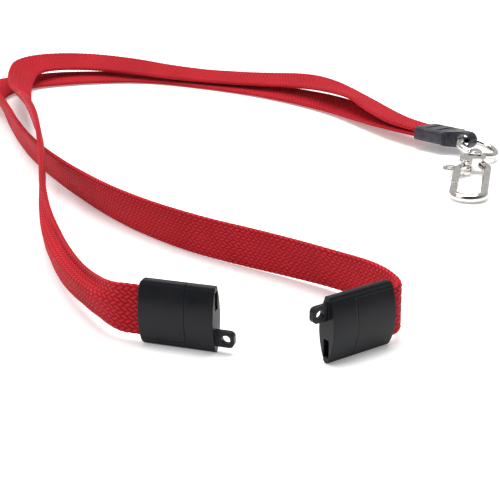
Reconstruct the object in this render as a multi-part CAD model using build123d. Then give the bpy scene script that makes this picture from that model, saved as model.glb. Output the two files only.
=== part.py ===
from build123d import *
import os
from math import asin, atan2, cos, degrees, radians, sin, tan

# Breakaway neck lanyard: a flat braided strap, a two-piece safety buckle in its neck run,
# a metal crimp at its lower end and a nickel swivel hook with a sprung gate.
# Millimetres. It lies on a table at z = 0, +X to the right, +Y from the buckle to the hook.
# The origin is on the table, under the middle of the box around the buckle, crimp and hook.

# ---------------------------------------------------------------- driving dimensions
STRAP_WIDTH = 10.0
STRAP_THICK = 1.4
ARC_STEPS = 4               # sections along each bend of the strap
RUN_STEPS = 2               # and along each straight run

HALF_LENGTH = 14.5          # one buckle half, strap end to mating face
HALF_HEIGHT = 13.0          # across the strap
HALF_THICK = 4.3            # at the crown of the lens-shaped section
EDGE_THICK = 1.7            # at the section's two rims
CORNER_R = 1.2              # rounded corners at the strap end
LID_LENGTH = 9.0            # from the strap end to the cross seam
LID_RAIL = 1.45             # rail beside the lid on the tab side
SEAM = 0.08                 # gap all round the lid
LID_INNER = 0.85            # lid plate's inner face, from the middle plane
POCKET_FLOOR = 0.95         # floor under the strap, from the middle plane
POCKET_SIDE = 0.05          # play beside the strap
POCKET_DEPTH = 7.6          # how far the strap goes in
TOOTH_PITCH = 1.6
TOOTH_COUNT = 4
TOOTH_HALF_BASE = 0.45
TOOTH_PLAY = 0.02           # tooth tip to the strap's face
HINGE_DEPTH = 2.15          # lid hinge line, from the middle plane

TAB_OFFSET = 3.6            # tab and slot centres, each side of the middle
TAB_HEIGHT = 3.0
TAB_LENGTH = 3.5
TAB_THICK = 1.15
TAB_HOLE_R = 0.85
TAB_HOLE_FROM_FACE = 1.95
TAB_CORNER_R = 0.9
SLOT_HEIGHT = 3.5
SLOT_WIDTH = 1.5
SLOT_DEPTH = 4.6
BUMP_R = 0.7
BUMP_HEIGHT = 0.15          # latch bump that drops into the other half's tab hole

CRIMP_LENGTH = 10.0
CRIMP_WALL = 0.6
CRIMP_SLIT = 0.7
CRIMP_GROOVE = 0.25
CRIMP_GROOVE_WIDTH = 1.0

EYE_RING_R = 5.6            # to the middle of the wire
EYE_WIRE_R = 0.9
ROLL_WIDTH = 3.6            # the crimp's rolled front, inside the eye
ROLL_CAVITY_R = 1.85        # room round the eye's wire
ROLL_NECK = 4.5             # band's front edge to the eye wire's middle
ROLL_SHOULDER = 0.55        # roll's centre beyond the wire's middle
ROLL_ROOT = 0.4             # how far the roll reaches back into the band

POST_R = 0.9
POST_PLAY = 0.05
POST_SHOULDER_R = 1.7
POST_HEAD_R = 1.5
POST_HEAD_THICK = 1.0
COLLAR_R = 2.4
COLLAR_START = 7.3          # along the hook, from the eye ring's middle
COLLAR_END = 11.4
YOKE_END = 15.6
YOKE_HALF_WIDTH = 3.1
YOKE_HALF_THICK = 1.9
WINDOW_START = 11.5         # window round the post's riveted head
WINDOW_END = 13.3
WINDOW_HALF_WIDTH = 1.75
HOOK_WIRE_R = 1.2
HOOK_HALF_WIDTH = 4.0       # hook axis to the middle of the hook wire
HOOK_REACH = 44.0           # eye ring's middle to the outside of the bend
SPINE_ROOT = (14.8, 2.2)    # where the wire leaves the yoke, along and across the hook
SPINE_SHOULDER = 18.5
TIP_X = 35.2

GATE_PIVOT = (17.6, -2.2)   # from the eye ring's middle, along and across the hook
GATE_THICK = 1.9
GATE_KNUCKLE_R = 1.45
GATE_KNUCKLE_TOP = -0.15    # the knuckle fills the lower half, the spring the upper
GATE_WIDTH = 1.9
GATE_BEND_X = 21.0
GATE_MOUTH_GAP = 0.35       # gate's end to the hook's tip
EAR_INNER = 1.0             # inner face of each gate ear, from the middle plane
EAR_R = 1.7
THUMB_CENTRE = (21.5, -5.8)
THUMB_R = 2.4
THUMB_HOLE_R = 1.1
THUMB_THICK = 1.5
RIVET_R = 0.7
RIVET_PLAY = 0.05
RIVET_HEAD_R = 1.25
RIVET_HEAD_HEIGHT = 0.35
SPRING_WIRE_R = 0.13
SPRING_COIL_R = 1.05
SPRING_PITCH = 0.32
SPRING_HEIGHT = 0.62

# ---------------------------------------------------------------- where things lie
BUCKLE_A_END = (-45.90, -67.0)      # strap end of each half, on the table
BUCKLE_A_HEADING = -17.5            # from the strap end to the mating face
BUCKLE_B_END = (-0.60, -67.7)
BUCKLE_B_HEADING = 215.0
CRIMP_START = (27.3, 72.9)
CRIMP_HEADING = -45.0               # from the strap towards the eye
CRIMP_ROLL = 5.0                    # near edge up
CRIMP_HEIGHT = 4.5                  # middle of the crimp above the table
EYE_SLIDE = -15.0                   # the ring's middle, slid round in the crimp's roll
HOOK_TURN = -43.0                   # hook axis from there, in the eye's plane

# The strap's two routes as (x, y, z, roll), from each buckle half to the crimp.
# Roll 0 stands on edge, -90 lies flat.
ROUTE_A = [
    (-38.84, -69.23, 6.5, 0),
    (-52.5, -64.92, 6.5, 0),
    (-60.8, -51.4, 5.3, 12),
    (-67.6, -35.2, 5.0, 14),
    (-73.8, -14.0, 5.2, 4),
    (-78.2, 13.0, 9.6, 0),
    (-82.4, 34.0, 16.1, -8),
    (-89.0, 55.0, 15.8, -16),
    (-96.0, 87.0, 9.6, -34),
    (-105.7, 121.0, 5.8, -46),
    (-109.5, 143.5, 6.6, -54),
    (-109.5, 157.0, 8.4, -62),
    (-98.0, 168.0, 8.0, -62),
    (-78.0, 172.0, 6.2, -66),
    (-50.0, 162.5, 3.7, -78),
    (-24.0, 149.5, 4.6, -76),
    (-4.0, 133.0, 7.6, -70),
    (10.0, 108.5, 7.4, -105),
    (15.5, 92.5, 6.2, -98),
    (22.747, 77.539, 5.197, -95),
    (34.061, 66.225, 5.197, -95),
]
ROUTE_B = [
    (-6.66, -71.94, 6.5, 0),
    (2.35, -65.63, 6.5, 0),
    (-0.5, -54.9, 6.3, -10),
    (-7.5, -45.5, 5.7, -20),
    (-20.0, -35.0, 5.3, -12),
    (-39.5, -21.5, 5.2, -8),
    (-57.0, -3.0, 5.15, -13),
    (-72.0, 20.0, 5.1, -18),
    (-84.0, 42.0, 5.1, -18),
    (-94.0, 65.0, 5.15, -13),
    (-104.0, 94.0, 5.3, -10),
    (-112.3, 117.0, 4.9, -32),
    (-119.2, 135.5, 3.3, -62),
    (-112.5, 155.0, 2.3, -76),
    (-92.0, 165.5, 2.2, -76),
    (-66.0, 169.5, 1.2, -86),
    (-41.0, 157.5, 0.9, -89),
    (-17.0, 141.0, 1.9, -78),
    (3.5, 117.5, 2.6, -72),
    (13.5, 97.0, 2.9, -82),
    (22.661, 77.453, 3.803, -95),
    (33.975, 66.139, 3.803, -95),
]

os.makedirs("parts", exist_ok=True)


def write(name, shape):
    """Save one node as one STEP file."""
    shape.label = name
    export_step(shape, f"parts/{name}.step")


def block(x0, x1, y0, y1, z0, z1):
    """A box between two corners."""
    centre = Pos((x0 + x1) / 2, (y0 + y1) / 2, (z0 + z1) / 2)
    return centre * Box(x1 - x0, y1 - y0, z1 - z0)


def rod(radius, start, end):
    """A cylinder between two points."""
    start = Vector(*start)
    axis = Vector(*end) - start
    low_end = (Align.CENTER, Align.CENTER, Align.MIN)
    return Plane(origin=start, z_dir=axis) * Cylinder(radius, axis.length, align=low_end)


# ---------------------------------------------------------------- buckle half
# Own frame: x from the strap end to the mating face, y through the thickness with the
# lid at -y, z up the height with the tab at the bottom.
MIDDLE = HALF_HEIGHT / 2
POCKET_LOW = (HALF_HEIGHT - STRAP_WIDTH) / 2 - POCKET_SIDE


def half_blank():
    """Outer shape of a half: two shallow faces with round rims and round strap-end corners."""
    rim = EDGE_THICK / 2
    crown = HALF_THICK / 2
    high = HALF_HEIGHT - rim
    with BuildSketch(Plane.YZ) as section:
        with BuildLine():
            ThreePointArc((-rim, rim), (-crown, MIDDLE), (-rim, high))
            ThreePointArc((-rim, high), (0, HALF_HEIGHT), (rim, high))
            ThreePointArc((rim, high), (crown, MIDDLE), (rim, rim))
            ThreePointArc((rim, rim), (0, 0), (-rim, rim))
        make_face()
    bar = extrude(section.sketch, HALF_LENGTH)
    outline = block(0, HALF_LENGTH, -HALF_THICK, HALF_THICK, 0, HALF_HEIGHT)
    strap_corners = outline.edges().filter_by(Axis.Y).group_by(Axis.X)[0]
    return bar & fillet(strap_corners, CORNER_R)


def lid_zone(gap):
    """The space the lid takes up, less a gap along its seams."""
    return block(-1, LID_LENGTH - gap, -HALF_THICK, -gap, LID_RAIL + gap, HALF_HEIGHT + 1)


def teeth(face_y, tip_y, first_x):
    """Ridges across the strap, from a face to their tips."""
    low = POCKET_LOW + TOOTH_HALF_BASE
    high = HALF_HEIGHT - low
    with BuildSketch(Plane.XY.offset(low)) as ridges:
        for number in range(TOOTH_COUNT):
            x = first_x + number * TOOTH_PITCH
            with BuildLine():
                Polyline((x - TOOTH_HALF_BASE, face_y), (x + TOOTH_HALF_BASE, face_y), (x, tip_y),
                         close=True)
            make_face()
    return extrude(ridges.sketch, high - low)


def buckle_body(blank):
    """Floor, rails, mating block, tab, slot and latch bump in one moulding."""
    body = blank - lid_zone(0)
    body -= block(-1, POCKET_DEPTH, -HALF_THICK, POCKET_FLOOR, POCKET_LOW, HALF_HEIGHT - POCKET_LOW)
    body += teeth(POCKET_FLOOR + 0.05, STRAP_THICK / 2 + TOOTH_PLAY, 1.8)
    face = HALF_LENGTH
    tab_z = MIDDLE - TAB_OFFSET
    slot_z = MIDDLE + TAB_OFFSET
    tab = block(face - 1, face + TAB_LENGTH, -TAB_THICK / 2, TAB_THICK / 2,
                tab_z - TAB_HEIGHT / 2, tab_z + TAB_HEIGHT / 2)
    tab = fillet(tab.edges().filter_by(Axis.Y).group_by(Axis.X)[-1], TAB_CORNER_R)
    hole_x = face + TAB_HOLE_FROM_FACE
    tab -= rod(TAB_HOLE_R, (hole_x, -HALF_THICK, tab_z), (hole_x, HALF_THICK, tab_z))
    body += tab
    body -= block(face - SLOT_DEPTH, face + 1, -SLOT_WIDTH / 2, SLOT_WIDTH / 2,
                  slot_z - SLOT_HEIGHT / 2, slot_z + SLOT_HEIGHT / 2)
    bump_x = face - TAB_HOLE_FROM_FACE
    wall = SLOT_WIDTH / 2
    body += rod(BUMP_R, (bump_x, wall + 0.05, slot_z), (bump_x, wall - BUMP_HEIGHT, slot_z))
    return body


def buckle_lid(blank):
    """Toothed cover that folds down over the strap end."""
    lid = blank & lid_zone(SEAM)
    lid -= block(-1, LID_LENGTH + 1, -LID_INNER, HALF_THICK, 0, HALF_HEIGHT - POCKET_LOW)
    lid += teeth(-LID_INNER - 0.05, -STRAP_THICK / 2 - TOOTH_PLAY, 1.0)
    return lid


half = half_blank()
body = buckle_body(half)
lid = buckle_lid(half)
turned_over = Pos(0, 0, HALF_HEIGHT) * Rot(180, 0, 0)
buckle_places = {
    "a": Pos(*BUCKLE_A_END, 0) * Rot(0, 0, BUCKLE_A_HEADING),
    "b": Pos(*BUCKLE_B_END, 0) * Rot(0, 0, BUCKLE_B_HEADING) * turned_over,
}
for letter, place in buckle_places.items():
    write(f"buckle_{letter}_body", place * body)
    write(f"buckle_{letter}_lid", place * lid)
    hinge = Plane(place * Pos(LID_LENGTH, -HINGE_DEPTH, MIDDLE))
    tab_hole = Plane(place * Pos(HALF_LENGTH + TAB_HOLE_FROM_FACE, 0, MIDDLE - TAB_OFFSET))
    slot = Plane(place * Pos(HALF_LENGTH, 0, MIDDLE + TAB_OFFSET))
    print(f"lid hinge {letter}", hinge.origin, "up", hinge.z_dir)
    print(f"tab hole {letter}", tab_hole.origin, "through", tab_hole.y_dir)
    print(f"slot {letter}", slot.origin, "out", slot.x_dir)


# ---------------------------------------------------------------- the two strap runs
def strap_section(position, tangent, roll):
    """The strap's section at one place, turned by its roll."""
    side = tangent.cross(Vector(0, 0, 1)).normalized()
    up = side.cross(tangent)
    across = up * cos(radians(roll)) + side * sin(radians(roll))
    return Plane(origin=position, x_dir=across, z_dir=tangent) * Rectangle(STRAP_WIDTH, STRAP_THICK)


def strap_run(name, route):
    """A flat braid along straight runs and tangent arcs, twisting as it goes."""
    points = [Vector(*row[:3]) for row in route]
    runs = [after - before for before, after in zip(points, points[1:])]
    radii = []
    for before, after in zip(runs, runs[1:]):
        shorter = min(before.length, after.length)
        if before is runs[0]:
            shorter = min(shorter, (before.length - POCKET_DEPTH) / 0.45)
        radii.append(0.45 * shorter / tan(radians(before.get_angle(after)) / 2))
    path = FilletPolyline(*points, radius=radii)
    print(name, "corner radii:", " ".join(f"{radius:.0f}" for radius in radii))

    # Each corner's roll holds at the middle of its arc; it turns evenly in between.
    edges = path.edges()
    knots = [(0.0, route[0][3])]
    travelled = 0.0
    for number, edge in enumerate(edges):
        if number % 2 == 1:
            knots.append((travelled + edge.length / 2, route[(number + 1) // 2][3]))
        travelled += edge.length
    knots.append((travelled, route[-1][3]))

    sections = []
    start = 0.0
    for number, edge in enumerate(edges):
        steps = ARC_STEPS if number % 2 == 1 else RUN_STEPS
        for step in range(0 if number == 0 else 1, steps + 1):
            share = step / steps
            place = start + edge.length * share
            low, high = next(pair for pair in zip(knots, knots[1:]) if place <= pair[1][0] + 0.001)
            roll = low[1] + (high[1] - low[1]) * (place - low[0]) / (high[0] - low[0])
            sections.append(strap_section(edge @ share, edge % share, roll))
        start += edge.length
    strap = loft(sections, ruled=True)
    nominal = STRAP_WIDTH * STRAP_THICK * travelled
    print(name, f"length {travelled:.1f}, volume {strap.volume:.0f}, section x length {nominal:.0f}")
    write(name, strap)


strap_run("strap_a", ROUTE_A)
strap_run("strap_b", ROUTE_B)

# ---------------------------------------------------------------- crimp
# Crimp frame: x along the strap towards the eye, y towards its far edge, z up through it.
crimp_place = Pos(*CRIMP_START, CRIMP_HEIGHT) * Rot(0, 0, CRIMP_HEADING) * Rot(-CRIMP_ROLL, 0, 0)
WIRE_X = CRIMP_LENGTH + ROLL_NECK
ROLL_X = WIRE_X + ROLL_SHOULDER
BAND_HALF_HEIGHT = STRAP_THICK + CRIMP_WALL


def crimp_roll():
    """The plate pinched shut in front of the strap and rolled over the eye's wire."""
    root_x = CRIMP_LENGTH - ROLL_ROOT
    neck_x = WIRE_X - 1.2
    outside = ROLL_CAVITY_R + CRIMP_WALL
    with BuildSketch(Plane.XZ) as side_view:
        with BuildLine():
            Polyline((ROLL_X, -outside), (neck_x, -outside), (root_x, -BAND_HALF_HEIGHT),
                     (root_x, BAND_HALF_HEIGHT), (neck_x, outside), (ROLL_X, outside))
            ThreePointArc((ROLL_X, outside), (ROLL_X + outside, 0), (ROLL_X, -outside))
        make_face()
    roll = extrude(side_view.sketch, STRAP_WIDTH, both=True)
    for x in (WIRE_X, ROLL_X):
        roll -= rod(ROLL_CAVITY_R, (x, -STRAP_WIDTH, 0), (x, STRAP_WIDTH, 0))
    roll -= block(WIRE_X, ROLL_X, -STRAP_WIDTH, STRAP_WIDTH, -ROLL_CAVITY_R, ROLL_CAVITY_R)
    wide = STRAP_WIDTH / 2 + CRIMP_WALL - 0.3
    narrow = ROLL_WIDTH / 2
    shoulder_x = CRIMP_LENGTH + 0.3
    narrow_x = WIRE_X - 1.6
    front_x = WIRE_X + 6
    with BuildSketch() as plan_view:
        with BuildLine():
            Polyline((root_x, wide), (shoulder_x, wide), (narrow_x, narrow), (front_x, narrow),
                     (front_x, -narrow), (narrow_x, -narrow), (shoulder_x, -wide), (root_x, -wide),
                     close=True)
        make_face()
    return roll & extrude(plan_view.sketch, STRAP_WIDTH, both=True)


def crimp():
    """Folded plate: a band with its slit underneath and pressed grooves on top, and the roll."""
    middle = Pos(CRIMP_LENGTH / 2, 0, 0)
    band = middle * Box(CRIMP_LENGTH, STRAP_WIDTH + 2 * CRIMP_WALL, 2 * BAND_HALF_HEIGHT)
    band = fillet(band.edges().filter_by(Axis.X), CRIMP_WALL * 1.5)
    band -= middle * Box(CRIMP_LENGTH + 2, STRAP_WIDTH, 2 * STRAP_THICK)
    band -= middle * Pos(0, 0, -BAND_HALF_HEIGHT) * Box(CRIMP_LENGTH + 2, CRIMP_SLIT, BAND_HALF_HEIGHT)
    for share in (0.3, 0.7):
        groove = Pos(CRIMP_LENGTH * share, 0, BAND_HALF_HEIGHT)
        band -= groove * Box(CRIMP_GROOVE_WIDTH, STRAP_WIDTH * 0.8, 2 * CRIMP_GROOVE)
    return band + crimp_roll()


write("crimp", crimp_place * crimp())

# ---------------------------------------------------------------- swivel hook
# Hook frame: x from the middle of the eye ring towards the bend, y towards the spine.
# The eye hangs in the crimp's roll at the angle that lets the hook's bend rest on the table.
BEND_X = HOOK_REACH - HOOK_WIRE_R
BEND_CENTRE = BEND_X - HOOK_HALF_WIDTH
turn = radians(HOOK_TURN)
slide = radians(EYE_SLIDE)
tilt = radians(CRIMP_ROLL)
bend_out = EYE_RING_R * cos(slide) + BEND_X * cos(slide + turn)
bend_aside = EYE_RING_R * sin(slide) + BEND_X * sin(slide + turn)
fall = CRIMP_HEIGHT - HOOK_WIRE_R - bend_aside * sin(tilt)
eye_drop = degrees(asin(fall / (cos(tilt) * bend_out)))
eye_pivot = crimp_place * Pos(WIRE_X, 0, 0)
eye_ring = eye_pivot * Rot(0, eye_drop, 0) * Rot(0, 0, EYE_SLIDE)
eye_place = eye_ring * Pos(EYE_RING_R, 0, 0) * Rot(0, 0, HOOK_TURN)
eye_plane = Plane(eye_place)
levelling = degrees(atan2(-eye_plane.y_dir.Z, eye_plane.z_dir.Z))
hook_place = eye_place * Rot(levelling, 0, 0)
PIVOT_X, PIVOT_Y = GATE_PIVOT


def swivel_eye():
    """Wire ring, shoulder, post and riveted head."""
    head_end = WINDOW_START + POST_HEAD_THICK + 0.15
    ring = Torus(EYE_RING_R, EYE_WIRE_R)
    shoulder = rod(POST_SHOULDER_R, (EYE_RING_R + EYE_WIRE_R / 2, 0, 0), (COLLAR_START - 0.1, 0, 0))
    post = rod(POST_R, (EYE_RING_R, 0, 0), (head_end, 0, 0))
    head = rod(POST_HEAD_R, (head_end - POST_HEAD_THICK, 0, 0), (head_end, 0, 0))
    return ring + shoulder + post + head


def hook_wire():
    """Spine, bend and rounded tip in one wire."""
    shoulder = (SPINE_SHOULDER, HOOK_HALF_WIDTH)
    bend_start = (BEND_CENTRE, HOOK_HALF_WIDTH)
    bend_end = (BEND_CENTRE, -HOOK_HALF_WIDTH)
    with BuildLine() as route:
        Polyline(SPINE_ROOT, shoulder, bend_start)
        ThreePointArc(bend_start, (BEND_X, 0), bend_end)
        Line(bend_end, (TIP_X, -HOOK_HALF_WIDTH))
    start = Plane(origin=route.line @ 0, z_dir=route.line % 0)
    wire = sweep(start * Circle(HOOK_WIRE_R), path=route.line, transition=Transition.ROUND)
    return wire + Pos(TIP_X, -HOOK_HALF_WIDTH, 0) * Sphere(HOOK_WIRE_R)


def hook_body():
    """Collar, window round the post's head, gate ears, spine, bend and tip."""
    collar = rod(COLLAR_R, (COLLAR_START, 0, 0), (COLLAR_END, 0, 0))
    collar = chamfer(collar.edges().filter_by(GeomType.CIRCLE), 0.4)
    yoke = block(COLLAR_END - 0.3, YOKE_END, -YOKE_HALF_WIDTH, YOKE_HALF_WIDTH,
                 -YOKE_HALF_THICK, YOKE_HALF_THICK)
    yoke = fillet(yoke.edges().filter_by(Axis.Z), 0.9)
    ears = rod(EAR_R, (PIVOT_X, PIVOT_Y, -YOKE_HALF_THICK), (PIVOT_X, PIVOT_Y, YOKE_HALF_THICK))
    ears += block(YOKE_END - 1.5, PIVOT_X, PIVOT_Y - EAR_R, PIVOT_Y + EAR_R,
                  -YOKE_HALF_THICK, YOKE_HALF_THICK)
    ears -= block(PIVOT_X - GATE_KNUCKLE_R - 0.2, PIVOT_X + 4, -5, 5, -EAR_INNER, EAR_INNER)
    hook = collar + yoke + ears + hook_wire()
    hook -= rod(POST_R + POST_PLAY, (COLLAR_START - 1, 0, 0), (WINDOW_START + 0.5, 0, 0))
    hook -= block(WINDOW_START, WINDOW_END, -WINDOW_HALF_WIDTH, WINDOW_HALF_WIDTH, -3, 3)
    hook -= rod(RIVET_R, (PIVOT_X, PIVOT_Y, -3), (PIVOT_X, PIVOT_Y, 3))
    return hook


def gate():
    """Sprung arm that closes the mouth, with its knuckle and thumb loop."""
    half_thick = GATE_THICK / 2
    half_wide = GATE_WIDTH / 2
    inner = -HOOK_HALF_WIDTH + half_wide
    outer = -HOOK_HALF_WIDTH - half_wide
    end_x = TIP_X - HOOK_WIRE_R - GATE_MOUTH_GAP
    with BuildSketch() as outline:
        with BuildLine():
            Polyline((PIVOT_X + 0.5, PIVOT_Y + 1.2), (GATE_BEND_X + 0.6, inner), (end_x, inner),
                     (end_x, outer), (GATE_BEND_X, outer), (PIVOT_X - 0.5, PIVOT_Y - 1.2), close=True)
        make_face()
    arm = extrude(outline.sketch, half_thick, both=True)
    arm -= rod(GATE_KNUCKLE_R + 0.25, (PIVOT_X, PIVOT_Y, GATE_KNUCKLE_TOP), (PIVOT_X, PIVOT_Y, 2))
    knuckle = rod(GATE_KNUCKLE_R, (PIVOT_X, PIVOT_Y, -half_thick), (PIVOT_X, PIVOT_Y, GATE_KNUCKLE_TOP))
    thumb_x, thumb_y = THUMB_CENTRE
    half_thumb = THUMB_THICK / 2
    thumb = rod(THUMB_R, (thumb_x, thumb_y, -half_thumb), (thumb_x, thumb_y, half_thumb))
    piece = arm + knuckle + thumb
    piece -= rod(THUMB_HOLE_R, (thumb_x, thumb_y - 0.3, -2), (thumb_x, thumb_y - 0.3, 2))
    piece -= rod(RIVET_R + RIVET_PLAY, (PIVOT_X, PIVOT_Y, -2), (PIVOT_X, PIVOT_Y, 2))
    return piece


def gate_rivet():
    """Plain rivet with a formed head at each end."""
    outside = YOKE_HALF_THICK + RIVET_HEAD_HEIGHT
    rivet = rod(RIVET_R, (PIVOT_X, PIVOT_Y, -outside), (PIVOT_X, PIVOT_Y, outside))
    for side in (-1, 1):
        inside = (PIVOT_X, PIVOT_Y, side * YOKE_HALF_THICK)
        rivet += rod(RIVET_HEAD_R, inside, (PIVOT_X, PIVOT_Y, side * outside))
    return rivet


def gate_spring():
    """Torsion coil round the rivet, above the knuckle."""
    coil = Helix(SPRING_PITCH, SPRING_HEIGHT, SPRING_COIL_R)
    start = Plane(origin=coil @ 0, z_dir=coil % 0)
    spring = sweep(start * Circle(SPRING_WIRE_R), path=coil, is_frenet=True)
    return Pos(PIVOT_X, PIVOT_Y, GATE_KNUCKLE_TOP + SPRING_WIRE_R + 0.05) * spring


write("swivel_eye", eye_place * swivel_eye())
write("hook_body", hook_place * hook_body())
write("gate", hook_place * gate())
write("gate_rivet", hook_place * gate_rivet())
write("gate_spring", hook_place * gate_spring())

gate_pivot = hook_place * Pos(*GATE_PIVOT, 0)
for label, place in (("eye pivot", eye_pivot), ("eye middle", eye_place), ("hook", hook_place),
                     ("gate pivot", gate_pivot), ("crimp", crimp_place)):
    frame = Plane(place)
    print(label, frame.origin, "x", frame.x_dir, "y", frame.y_dir, "z", frame.z_dir)
print(f"eye drop {eye_drop:.2f}, levelling {levelling:.2f}")
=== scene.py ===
import bpy
import numpy as np
from math import radians
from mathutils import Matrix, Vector


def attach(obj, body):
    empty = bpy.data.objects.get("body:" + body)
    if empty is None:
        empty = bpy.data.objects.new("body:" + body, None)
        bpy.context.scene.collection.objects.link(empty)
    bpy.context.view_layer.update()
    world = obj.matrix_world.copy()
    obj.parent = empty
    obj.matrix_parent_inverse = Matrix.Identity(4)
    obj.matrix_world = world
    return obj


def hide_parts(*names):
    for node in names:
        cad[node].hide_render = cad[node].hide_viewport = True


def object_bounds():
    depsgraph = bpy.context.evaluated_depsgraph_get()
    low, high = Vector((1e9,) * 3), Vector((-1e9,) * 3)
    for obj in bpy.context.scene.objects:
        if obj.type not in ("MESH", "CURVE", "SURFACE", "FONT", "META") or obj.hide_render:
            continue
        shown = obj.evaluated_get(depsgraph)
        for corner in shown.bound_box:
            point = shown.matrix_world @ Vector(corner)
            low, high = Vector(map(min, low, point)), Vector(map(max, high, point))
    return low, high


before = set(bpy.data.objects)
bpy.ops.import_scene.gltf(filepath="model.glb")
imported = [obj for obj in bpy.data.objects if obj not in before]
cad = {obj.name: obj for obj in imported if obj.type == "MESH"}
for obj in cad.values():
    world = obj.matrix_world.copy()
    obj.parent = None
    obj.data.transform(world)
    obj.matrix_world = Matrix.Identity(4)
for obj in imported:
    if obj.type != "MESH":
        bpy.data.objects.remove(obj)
cad_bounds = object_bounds()
scene = bpy.context.scene

# ---------------------------------------------------------------- camera
CAMERA_PLACE = (-0.026, -0.253, 0.0878)
CAMERA_TILT = 69.5          # degrees up from looking straight down
FOCAL_LENGTH = 79.2
SENSOR_WIDTH = 36.0

cam_data = bpy.data.cameras.new("camera")
cam_data.sensor_width = SENSOR_WIDTH
cam_data.lens = FOCAL_LENGTH
cam_data.clip_start = 0.01
camera = bpy.data.objects.new("camera", cam_data)
camera.location = CAMERA_PLACE
camera.rotation_euler = (radians(CAMERA_TILT), 0.0, 0.0)
scene.collection.objects.link(camera)
scene.camera = camera

# ---------------------------------------------------------------- strap routes
# (x, y, z) in metres and the roll in degrees: 0 stands on edge, -90 lies flat.
ROUTE_A = [
    (-0.03884, -0.06923, 0.0065, 0),
    (-0.04695, -0.06667, 0.0065, 0),
    (-0.0525, -0.06492, 0.0065, 0),
    (-0.0608, -0.0514, 0.0053, 12),
    (-0.0676, -0.0352, 0.0050, 14),
    (-0.0738, -0.0140, 0.0052, 4),
    (-0.0782, 0.0130, 0.0096, 0),
    (-0.0824, 0.0340, 0.0161, -8),
    (-0.0890, 0.0550, 0.0158, -16),
    (-0.0960, 0.0870, 0.0096, -34),
    (-0.1057, 0.1210, 0.0058, -46),
    (-0.1095, 0.1435, 0.0066, -54),
    (-0.1095, 0.1570, 0.0084, -62),
    (-0.0980, 0.1680, 0.0080, -62),
    (-0.0780, 0.1720, 0.0062, -66),
    (-0.0500, 0.1625, 0.0037, -78),
    (-0.0240, 0.1495, 0.0046, -76),
    (-0.0040, 0.1330, 0.0076, -70),
    (0.0100, 0.1085, 0.0074, -105),
    (0.0155, 0.0925, 0.0062, -98),
    (0.022747, 0.077539, 0.005197, -95),
    (0.034061, 0.066225, 0.005197, -95),
]
ROUTE_B = [
    (-0.00666, -0.07194, 0.0065, 0),
    (-0.00134, -0.06821, 0.0065, 0),
    (0.00235, -0.06563, 0.0065, 0),
    (-0.0005, -0.0549, 0.0063, -10),
    (-0.0075, -0.0455, 0.0057, -20),
    (-0.0200, -0.0350, 0.0053, -12),
    (-0.0395, -0.0215, 0.0052, -8),
    (-0.0570, -0.0030, 0.00515, -13),
    (-0.0720, 0.0200, 0.0051, -18),
    (-0.0840, 0.0420, 0.0051, -18),
    (-0.0940, 0.0650, 0.00515, -13),
    (-0.1040, 0.0940, 0.0053, -10),
    (-0.1123, 0.1170, 0.0049, -32),
    (-0.1192, 0.1355, 0.0033, -62),
    (-0.1125, 0.1550, 0.0023, -76),
    (-0.0920, 0.1655, 0.0022, -76),
    (-0.0660, 0.1695, 0.0012, -86),
    (-0.0410, 0.1575, 0.0009, -89),
    (-0.0170, 0.1410, 0.0019, -78),
    (0.0035, 0.1175, 0.0026, -72),
    (0.0135, 0.0970, 0.0029, -82),
    (0.022661, 0.077453, 0.003803, -95),
    (0.033975, 0.066139, 0.003803, -95),
]

ROLL_SCALE = 100            # degrees of roll to a metre, to carry the roll on a spline of its own

STRAP_WIDTH = 0.010
STRAP_THICK = 0.0014
ROWS_ROUND = 52             # braid rows round the whole tube, a multiple of 4
ROW_LENGTH = 0.0014         # spacing of the rows along the strap
STEP = 0.00016              # mesh spacing
GROOVE = 0.00020            # depth between the yarns
YARN_END_HEIGHT = 0.25      # share of a yarn's height left where it dives under
LINE_STEPS = 48             # points read from the spline for each control point

# Uneven hand of the braid: (amplitude in metres, waves in radians a metre), then its swelling.
WANDER_LONG = (0.0003, 210)
WANDER_SHORT = (0.0002, 517)
SWELL = 0.04
SWELL_WAVES = 330

# How the yarn's fibres run through the noise that colours them.
FIBRES_ACROSS = 9
FIBRES_ALONG = 1.2
FIBRE_SHIFT = 400           # a metre of strap moves the noise this far
FIBRE_OFFSET_OVER = 3.0
FIBRE_OFFSET_UNDER = 8.0
FIBRE_RELIEF = 0.34         # how much the fibres darken and lighten the yarns

# Lengthwise fold of the left run: each place across the flat strap, where the fold brings it, and
# how far back it leans there.
FOLD_ACROSS = [-0.0050, 0.0000, 0.0012, 0.0030, 0.0040, 0.0050]
FOLD_TO = [-0.0037, 0.0004, 0.0013, 0.0019, 0.0026, 0.0034]
FOLD_BACK = [0.0014, -0.0004, -0.0008, 0.0012, 0.0018, 0.0016]

# How much of the fold there is at each distance from the start of the left run.
FOLD_PLACES = [0.0, 0.011, 0.019, 0.027, 0.055, 0.085]
FOLD_AMOUNTS = [0.0, 0.0, 0.7, 1.0, 0.9, 0.0]


# ---------------------------------------------------------------- node materials
def new_material(name):
    """A new material, with its node tree and its shader."""
    mat = bpy.data.materials.new(name)
    mat.use_nodes = True
    tree = mat.node_tree
    return mat, tree, tree.nodes["Principled BSDF"]


def add(tree, kind, operation=None, **values):
    """One node. Inputs are values or sockets, named, or numbered as in0, in1 and so on."""
    node = tree.nodes.new(kind)
    if operation:
        node.operation = operation
    for key, value in values.items():
        socket = node.inputs[int(key[2:])] if key.startswith("in") else node.inputs[key.replace("_", " ")]
        if isinstance(value, bpy.types.NodeSocket):
            tree.links.new(value, socket)
        else:
            socket.default_value = value
    return node


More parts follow.
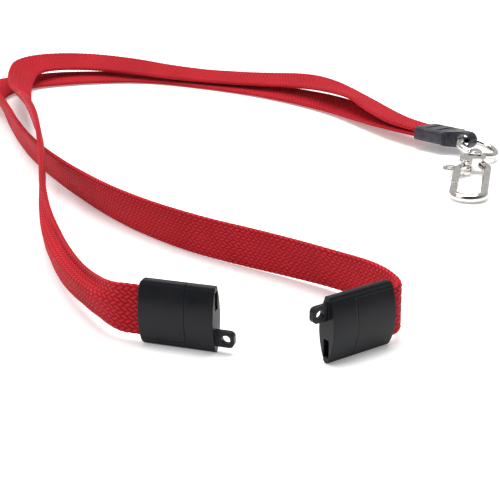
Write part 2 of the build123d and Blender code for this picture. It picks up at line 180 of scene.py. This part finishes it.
def ramp(tree, source, stops):
    """A colour ramp fed by source, with (position, colour) stops."""
    node = tree.nodes.new("ShaderNodeValToRGB")
    tree.links.new(source, node.inputs["Fac"])
    elements = node.color_ramp.elements
    while len(elements) < len(stops):
        elements.new(0.5)
    for element, (position, colour) in zip(elements, stops):
        element.position = position
        element.color = (*colour, 1.0)
    return node.outputs["Color"]


def soft_edges(tree, radius):
    """Normal with every hard edge rounded by that radius."""
    node = tree.nodes.new("ShaderNodeBevel")
    node.samples = 6
    node.inputs["Radius"].default_value = radius
    return node.outputs["Normal"]


def braid_material():
    """Red yarn with painted shade in the grooves and a painted highlight on the yarn crowns, and fine
    fibres along each yarn.
    """
    mat, tree, shader = new_material("red_braid")
    relief = tree.nodes.new("ShaderNodeAttribute")
    relief.attribute_name = "relief"
    fibre = tree.nodes.new("ShaderNodeAttribute")
    fibre.attribute_name = "fibre"
    threads = add(tree, "ShaderNodeTexNoise", Vector=fibre.outputs["Vector"], Scale=1.0, Detail=3.0,
                  Roughness=0.6)
    place = tree.nodes.new("ShaderNodeTexCoord").outputs["Object"]
    patches = add(tree, "ShaderNodeTexNoise", Vector=place, Scale=60.0, Detail=2.0)
    height = add(tree, "ShaderNodeMath", "MULTIPLY_ADD", in0=threads.outputs["Fac"],
                 in1=FIBRE_RELIEF, in2=relief.outputs["Fac"])
    shifted = add(tree, "ShaderNodeMath", "SUBTRACT", in0=height.outputs[0], in1=FIBRE_RELIEF / 2)
    # Colour follows the braid height: the dark low stop is painted shade in the grooves, the light high
    # stop a painted highlight on the yarn crowns.
    colour = ramp(tree, shifted.outputs[0], [
        (0.10, (0.090, 0.0020, 0.0035)),
        (0.55, (0.350, 0.0095, 0.0150)),
        (0.95, (0.520, 0.0240, 0.0360)),
    ])
    tone = add(tree, "ShaderNodeMapRange", Value=patches.outputs["Fac"], in1=0.3, in2=0.7, in3=0.90,
               in4=1.10)
    mixed = add(tree, "ShaderNodeVectorMath", "SCALE", in0=colour)
    tree.links.new(tone.outputs["Result"], mixed.inputs["Scale"])
    tree.links.new(mixed.outputs["Vector"], shader.inputs["Base Color"])
    bump = add(tree, "ShaderNodeBump", Height=threads.outputs["Fac"], Strength=0.5, Distance=0.00008)
    tree.links.new(bump.outputs["Normal"], shader.inputs["Normal"])
    shader.inputs["Roughness"].default_value = 0.58
    shader.inputs["Specular IOR Level"].default_value = 0.05
    shader.inputs["Sheen Weight"].default_value = 0.06
    shader.inputs["Sheen Roughness"].default_value = 0.35
    shader.inputs["Sheen Tint"].default_value = (1.0, 0.55, 0.58, 1.0)
    return mat


def plastic_material():
    """Black moulded plastic with a fine satin grain."""
    mat, tree, shader = new_material("black_plastic")
    place = tree.nodes.new("ShaderNodeTexCoord").outputs["Object"]
    grain = add(tree, "ShaderNodeTexNoise", Vector=place, Scale=5200.0, Detail=2.0)
    smudge = add(tree, "ShaderNodeTexNoise", Vector=place, Scale=140.0, Detail=4.0)
    colour = ramp(tree, smudge.outputs["Fac"], [
        (0.30, (0.0060, 0.0064, 0.0084)),
        (0.75, (0.0100, 0.0106, 0.0136)),
    ])
    tree.links.new(colour, shader.inputs["Base Color"])
    rough = add(tree, "ShaderNodeMapRange", Value=smudge.outputs["Fac"], in1=0.3, in2=0.7, in3=0.33,
                in4=0.43)
    tree.links.new(rough.outputs["Result"], shader.inputs["Roughness"])
    bump = add(tree, "ShaderNodeBump", Height=grain.outputs["Fac"], Strength=0.35, Distance=0.00003,
               Normal=soft_edges(tree, 0.00030))
    tree.links.new(bump.outputs["Normal"], shader.inputs["Normal"])
    shader.inputs["Specular IOR Level"].default_value = 0.20
    return mat


def metal_material(name, low, high, roughness, edge, streak_scale):
    """Plated metal whose colour and polish wander between two values."""
    mat, tree, shader = new_material(name)
    place = tree.nodes.new("ShaderNodeTexCoord").outputs["Object"]
    wear = add(tree, "ShaderNodeTexNoise", Vector=place, Scale=streak_scale, Detail=4.0)
    colour = ramp(tree, wear.outputs["Fac"], [(0.35, low), (0.70, high)])
    tree.links.new(colour, shader.inputs["Base Color"])
    rough = add(tree, "ShaderNodeMapRange", Value=wear.outputs["Fac"], in1=0.3, in2=0.7,
                in3=roughness * 0.8, in4=roughness * 1.3)
    tree.links.new(rough.outputs["Result"], shader.inputs["Roughness"])
    bump = add(tree, "ShaderNodeBump", Height=wear.outputs["Fac"], Strength=0.12, Distance=0.00002,
               Normal=soft_edges(tree, edge))
    tree.links.new(bump.outputs["Normal"], shader.inputs["Normal"])
    shader.inputs["Metallic"].default_value = 1.0
    return mat


red_braid = braid_material()
black_plastic = plastic_material()
gunmetal = metal_material("gunmetal", low=(0.046, 0.045, 0.056), high=(0.076, 0.074, 0.090),
                          roughness=0.30, edge=0.00025, streak_scale=500.0)
nickel = metal_material("nickel", low=(0.66, 0.64, 0.60), high=(0.80, 0.78, 0.75),
                        roughness=0.14, edge=0.00020, streak_scale=700.0)


def coat(node, mat):
    """Gives a CAD node that finish."""
    piece = cad[node]
    if len(piece.material_slots) == 0:
        piece.data.materials.append(mat)
    for slot in piece.material_slots:
        slot.material = mat


# ---------------------------------------------------------------- the braid
def spline_points(name, rows):
    """Points along the smooth line through a route's control points."""
    curve = bpy.data.curves.new(name, "CURVE")
    curve.dimensions = "3D"
    curve.resolution_u = LINE_STEPS
    spline = curve.splines.new("NURBS")
    spline.points.add(len(rows) - 1)
    for point, row in zip(spline.points, rows):
        point.co = (*row, 1.0)
    spline.order_u = 3
    spline.use_endpoint_u = True
    holder = bpy.data.objects.new(name, curve)
    line = bpy.data.meshes.new_from_object(holder)
    found = np.array([vertex.co[:] for vertex in line.vertices])
    bpy.data.objects.remove(holder)
    bpy.data.curves.remove(curve)
    bpy.data.meshes.remove(line)
    return found


def braid_height(along, around, perimeter):
    """Relief of a braid whose yarns pass over two and under two, and the place on the yarn on top."""
    rows = ROWS_ROUND / 2
    u = along / ROW_LENGTH + around / perimeter * rows
    v = along / ROW_LENGTH - around / perimeter * rows
    row_u = np.floor(u)
    row_v = np.floor(v)
    over = (row_u - row_v) % 4 < 2
    across = np.where(over, u - row_u, v - row_v) - 0.5
    lengthwise = np.where(over, (v - row_u + 2) % 4 - 2, (u - row_v - 1) % 4 - 2) / 2
    crown = np.sqrt(np.clip(1 - (2 * across) ** 2, 0, 1))
    ends = np.cos(np.pi * lengthwise)
    height = crown * (YARN_END_HEIGHT + (1 - YARN_END_HEIGHT) * np.sqrt(np.clip(ends, 0, 1)))
    return height, across, lengthwise, over


def stadium(width, thick, columns):
    """Outline of a flat tube's section: places, outward normals and lengths round it."""
    radius = thick / 2
    flat = width / 2 - radius
    perimeter = 4 * flat + 2 * np.pi * radius
    s = np.arange(columns) / columns * perimeter
    arc = np.pi * radius
    places = np.zeros((columns, 2))
    normals = np.zeros((columns, 2))
    for index, length in enumerate(s):
        if length < 2 * flat:
            places[index] = (length - flat, radius)
            normals[index] = (0, 1)
            continue
        length -= 2 * flat
        if length < arc:
            turn = length / radius
            normals[index] = (np.sin(turn), np.cos(turn))
            places[index] = (flat, 0) + normals[index] * radius
            continue
        length -= arc
        if length < 2 * flat:
            places[index] = (flat - length, -radius)
            normals[index] = (0, -1)
            continue
        turn = (length - 2 * flat) / radius
        normals[index] = (-np.sin(turn), -np.cos(turn))
        places[index] = (-flat, 0) + normals[index] * radius
    return places, normals, s, perimeter


def tube_mesh(name, position):
    """Mesh of a closed tube from its rings of points, with both ends capped."""
    count, columns = position.shape[:2]
    index = np.arange(count * columns).reshape(count, columns)
    following = np.roll(index, -1, axis=1)
    sides = np.stack([index[:-1], index[1:], following[1:], following[:-1]], axis=-1).reshape(-1, 4)
    faces = [sides]
    half = columns // 2
    for ring, reverse in ((0, False), (count - 1, True)):
        first = index[ring, :half]
        second = index[ring, ::-1][:half]
        cap = np.stack([first[:-1], first[1:], second[1:], second[:-1]], axis=-1)
        faces.append(cap[:, ::-1] if reverse else cap)
    quads = np.concatenate(faces)

    mesh = bpy.data.meshes.new(name)
    mesh.vertices.add(count * columns)
    mesh.vertices.foreach_set("co", position.reshape(-1).astype(np.float32))
    mesh.loops.add(quads.size)
    mesh.loops.foreach_set("vertex_index", quads.reshape(-1).astype(np.int32))
    mesh.polygons.add(len(quads))
    mesh.polygons.foreach_set("loop_start", (np.arange(len(quads)) * 4).astype(np.int32))
    mesh.polygons.foreach_set("use_smooth", np.ones(len(quads), dtype=bool))
    mesh.update(calc_edges=True)
    mesh.validate()
    return mesh


def section_frames(line, across):
    """Places along a line at even steps, with the strap's centre, width and facing at each."""
    seg = np.linalg.norm(np.diff(line, axis=0), axis=1)
    travelled = np.concatenate([[0.0], np.cumsum(seg)])
    total = travelled[-1]
    tangents = np.gradient(line, travelled, axis=0)
    at = np.linspace(0.0, total, int(total / STEP) + 1)

    def resample(values):
        return np.stack([np.interp(at, travelled, values[:, k]) for k in range(values.shape[1])], axis=1)

    centre = resample(line)
    tangent = resample(tangents)
    tangent /= np.linalg.norm(tangent, axis=1)[:, None]
    wide = resample(across)
    wide -= tangent * np.sum(wide * tangent, axis=1)[:, None]
    wide /= np.linalg.norm(wide, axis=1)[:, None]
    return at, centre, wide, np.cross(wide, tangent)


def braided_tube(name, line, across, folded, seed):
    """A flat braided tube along a line. across gives the width's direction at each of its points."""
    at, centre, wide, facing = section_frames(line, across)
    columns = 2 * int((STRAP_WIDTH + STRAP_THICK) / STEP)
    places, normals, around, perimeter = stadium(STRAP_WIDTH, STRAP_THICK, columns)
    s_grid, p_grid = np.meshgrid(at, around, indexing="ij")
    wander = (WANDER_LONG[0] * np.sin(s_grid * WANDER_LONG[1] + seed)
              + WANDER_SHORT[0] * np.sin(s_grid * WANDER_SHORT[1] + 2 * seed))
    height, yarn_across, yarn_along, over = braid_height(s_grid + wander, p_grid, perimeter)
    inward = GROOVE * (1 - height)
    px = places[None, :, 0] - normals[None, :, 0] * inward
    py = places[None, :, 1] - normals[None, :, 1] * inward
    swell = 1 + SWELL * np.sin(at * SWELL_WAVES + seed)
    py = py * swell[:, None]
    if folded:
        amount = np.interp(at, FOLD_PLACES, FOLD_AMOUNTS)[:, None]
        py = py - amount * np.interp(px, FOLD_ACROSS, FOLD_BACK)
        px = px + amount * (np.interp(px, FOLD_ACROSS, FOLD_TO) - px)
    position = (centre[:, None, :] + wide[:, None, :] * px[:, :, None]
                + facing[:, None, :] * py[:, :, None])

    mesh = tube_mesh(name, position)
    # The braid height; the red_braid material turns it into painted shade in the grooves and a painted
    # highlight on the crowns.
    relief = mesh.attributes.new("relief", "FLOAT", "POINT")
    relief.data.foreach_set("value", height.reshape(-1).astype(np.float32))
    offset = np.where(over, FIBRE_OFFSET_OVER, FIBRE_OFFSET_UNDER) + s_grid * FIBRE_SHIFT
    strands = np.stack([yarn_across * FIBRES_ACROSS, yarn_along * FIBRES_ALONG, offset], axis=-1)
    fibre = mesh.attributes.new("fibre", "FLOAT_VECTOR", "POINT")
    fibre.data.foreach_set("vector", strands.reshape(-1).astype(np.float32))
    mesh.materials.append(red_braid)
    tube = bpy.data.objects.new(name, mesh)
    scene.collection.objects.link(tube)
    return tube


def cross_directions(line, rolls):
    """The strap's width direction at each point, from its travel and its roll."""
    tangent = np.gradient(line, axis=0)
    tangent /= np.linalg.norm(tangent, axis=1)[:, None]
    side = np.cross(tangent, (0.0, 0.0, 1.0))
    side /= np.linalg.norm(side, axis=1)[:, None]
    up = np.cross(side, tangent)
    turn = np.radians(rolls)[:, None]
    return up * np.cos(turn) + side * np.sin(turn)


def strap(name, route, node, folded, seed):
    """The braid along a route, put in place of that CAD node, which is hidden."""
    line = spline_points(name + "_line", [row[:3] for row in route])
    rolls = spline_points(name + "_roll", [(row[3] / ROLL_SCALE, 0, 0) for row in route])[:, 0] * ROLL_SCALE
    tube = braided_tube(name, line, cross_directions(line, rolls), folded, seed)
    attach(tube, "strap_and_buckle")
    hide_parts(node)


strap("braid_a", ROUTE_A, "strap_a", folded=True, seed=0.4)
strap("braid_b", ROUTE_B, "strap_b", folded=False, seed=1.9)

# ---------------------------------------------------------------- finishes on the CAD pieces
for node in ("buckle_a_body", "buckle_a_lid", "buckle_b_body", "buckle_b_lid"):
    coat(node, black_plastic)
for node in ("swivel_eye", "hook_body", "gate", "gate_rivet", "gate_spring"):
    coat(node, nickel)
coat("crimp", gunmetal)

# ---------------------------------------------------------------- floor and light
FLOOR_REACH = 20.0
FLOOR_GLOW = 0.25
floor_corners = [(-FLOOR_REACH, -FLOOR_REACH, 0), (FLOOR_REACH, -FLOOR_REACH, 0),
                 (FLOOR_REACH, FLOOR_REACH, 0), (-FLOOR_REACH, FLOOR_REACH, 0)]
floor_mesh = bpy.data.meshes.new("floor")
floor_mesh.from_pydata(floor_corners, [], [(0, 1, 2, 3)])
floor = bpy.data.objects.new("floor", floor_mesh)
scene.collection.objects.link(floor)
floor_mat, floor_tree, floor_shader = new_material("pale_floor")
floor_place = floor_tree.nodes.new("ShaderNodeTexCoord").outputs["Object"]
floor_noise = add(floor_tree, "ShaderNodeTexNoise", Vector=floor_place, Scale=8.0, Detail=2.0)
floor_colour = ramp(floor_tree, floor_noise.outputs["Fac"], [
    (0.3, (0.88, 0.88, 0.88)),
    (0.7, (0.90, 0.90, 0.90)),
])
floor_tree.links.new(floor_colour, floor_shader.inputs["Base Color"])
floor_shader.inputs["Roughness"].default_value = 0.9
floor_shader.inputs["Specular IOR Level"].default_value = 0.1
floor_shader.inputs["Emission Color"].default_value = (1.0, 1.0, 1.0, 1.0)
floor_shader.inputs["Emission Strength"].default_value = FLOOR_GLOW
floor_mesh.materials.append(floor_mat)

NEAR_SKY = 0.05             # strength of the surroundings on the camera's side
FAR_SKY = 0.55              # and on the far side
TOP_POWER = 12.0
LEFT_POWER = 2.5

world = bpy.data.worlds.new("studio")
scene.world = world
world.use_nodes = True
sky = world.node_tree
background = sky.nodes["Background"]
direction = sky.nodes.new("ShaderNodeTexCoord").outputs["Generated"]
split = add(sky, "ShaderNodeSeparateXYZ", Vector=direction)
shade = add(sky, "ShaderNodeMapRange", Value=split.outputs["Y"], in1=-0.7, in2=0.5, in3=NEAR_SKY,
            in4=FAR_SKY)
sky.links.new(shade.outputs["Result"], background.inputs["Strength"])
background.inputs["Color"].default_value = (1.0, 1.0, 1.0, 1.0)


def softbox(name, place, target, size, power):
    """A rectangular lamp aimed at target."""
    light = bpy.data.lights.new(name, "AREA")
    light.shape = "RECTANGLE"
    light.size = size[0]
    light.size_y = size[1]
    light.energy = power
    lamp = bpy.data.objects.new(name, light)
    lamp.location = place
    aim = np.array(target) - np.array(place)
    lamp.rotation_euler = Vector(aim).to_track_quat("-Z", "Y").to_euler()
    scene.collection.objects.link(lamp)


middle = [(low + high) / 2 for low, high in zip(*cad_bounds)]
softbox("top_box", (middle[0], middle[1] + 0.1, 0.9), middle, (0.9, 0.7), TOP_POWER)
softbox("left_box", (middle[0] - 0.7, middle[1] - 0.3, 0.55), middle, (0.5, 0.5), LEFT_POWER)
scene.view_settings.view_transform = "Standard"
